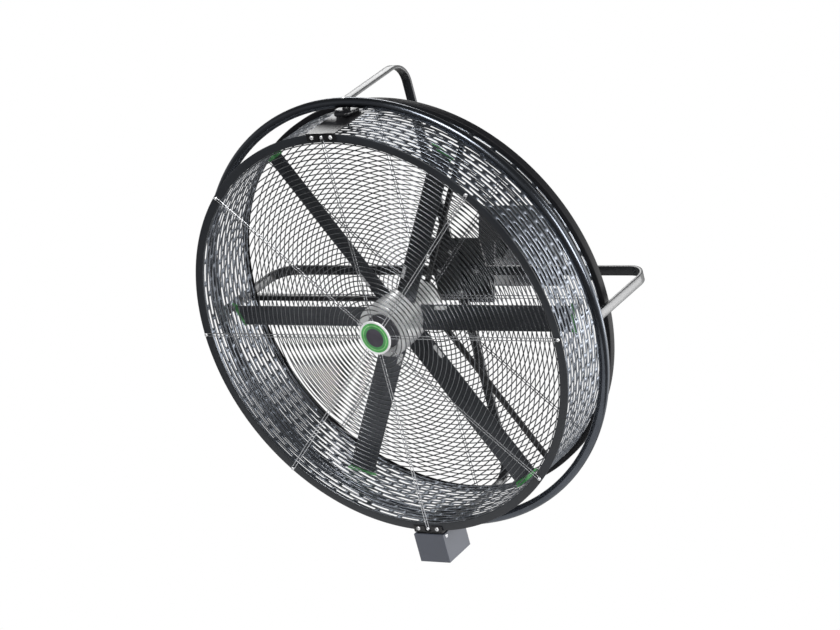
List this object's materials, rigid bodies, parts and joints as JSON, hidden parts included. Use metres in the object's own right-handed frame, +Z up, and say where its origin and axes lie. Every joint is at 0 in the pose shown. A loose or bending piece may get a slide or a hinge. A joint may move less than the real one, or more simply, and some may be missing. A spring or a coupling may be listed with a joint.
{
  "type": "drum fan",
  "caption": "Large round drum fan with slotted housing, wire guards and straight blades, held in a swivelling hoop on a tilting wall mount.",
  "frame": {"origin": "middle of the wall plate's back face, which lies on the wall", "axes": "+Z up, +Y into the wall, the fan hangs towards -Y, tilted face down"},
  "size_m": [1.952, 1.4656, 2.066],
  "materials": {
    "black_paint": "satin black powder coat",
    "dark_steel": "smooth dark steel, lacquered",
    "grey_paint": "slate grey powder coat",
    "anodised_aluminium": "dark anodised extrusion",
    "galvanised_sheet": "bright slotted sheet",
    "zinc_wire": "zinc plated wire",
    "polished_aluminium": "polished, turned",
    "steel": "bright plated",
    "green_plastic": "moulded, green",
    "dark_plastic": "moulded, near black",
    "copper_winding": "wound copper on laminations"
  },
  "bodies": {
    "mount": {"wall_plate": "black_paint", "mount_arm": "black_paint", "tilt_bracket": "black_paint"},
    "yoke_frame": {"head_plate": "black_paint", "tilt_pin": "steel", "horizontal_yoke": "dark_steel", "vertical_yoke": "dark_steel", "hoop": "dark_steel", "yoke_bolt_right": "steel", "yoke_bolt_left": "steel", "yoke_bolt_top": "steel", "yoke_bolt_bottom": "steel", "top_swivel_pin": "steel", "bottom_swivel_pin": "steel"},
    "knob": {"clamp_knob": "dark_plastic"},
    "drum": {"drum_shell": "galvanised_sheet", "front_ring": "black_paint", "rear_ring": "black_paint", "front_guard": "zinc_wire", "rear_guard": "zinc_wire", "guard_bolt_1": "steel", "guard_bolt_2": "steel", "guard_bolt_3": "steel", "guard_bolt_4": "steel", "guard_bolt_5": "steel", "guard_bolt_6": "steel", "guard_bolt_7": "steel", "guard_bolt_8": "steel", "top_swivel_bracket": "black_paint", "bottom_swivel_bracket": "black_paint", "top_bracket_bolt_left": "steel", "top_bracket_bolt_right": "steel", "bottom_bracket_bolt_left": "steel", "bottom_bracket_bolt_right": "steel", "terminal_box": "grey_paint", "badge": "dark_plastic", "motor_arm_left": "black_paint", "motor_arm_upper": "black_paint", "motor_arm_lower": "black_paint", "motor_mount_plate": "black_paint", "motor_casing": "polished_aluminium", "axle": "steel", "front_bearing": "steel", "rear_bearing": "steel", "stator": "copper_winding"},
    "rotor": {"hub": "polished_aluminium", "hub_disc": "dark_plastic", "blade_1": "anodised_aluminium", "winglet_1": "green_plastic", "blade_2": "anodised_aluminium", "winglet_2": "green_plastic", "blade_3": "anodised_aluminium", "winglet_3": "green_plastic", "blade_4": "anodised_aluminium", "winglet_4": "green_plastic", "blade_5": "anodised_aluminium", "winglet_5": "green_plastic", "blade_6": "anodised_aluminium", "winglet_6": "green_plastic"}
  },
  "joints": [
    {"name": "tilt", "type": "hinge", "parent": "mount", "child": "yoke_frame", "pos_m": [0, -0.428, -0.086], "axis": [1, 0, 0], "range_deg": [-25.4, 4.6]},
    {"name": "knob_turn", "type": "hinge", "parent": "yoke_frame", "child": "knob", "pos_m": [0, -1.28504, 0.52992], "axis": [0, -0.4289, 0.9033], "range_deg": [0, 300]},
    {"name": "drum_swivel", "type": "hinge", "parent": "yoke_frame", "child": "drum", "pos_m": [0, -0.8887, -0.30476], "axis": [0, -0.4289, 0.9033], "range_deg": [-15, 15]},
    {"name": "rotor_spin", "type": "hinge", "parent": "drum", "child": "rotor", "pos_m": [0, -0.8887, -0.30476], "axis": [0, 0.9033, 0.4289], "continuous": true}
  ]
}
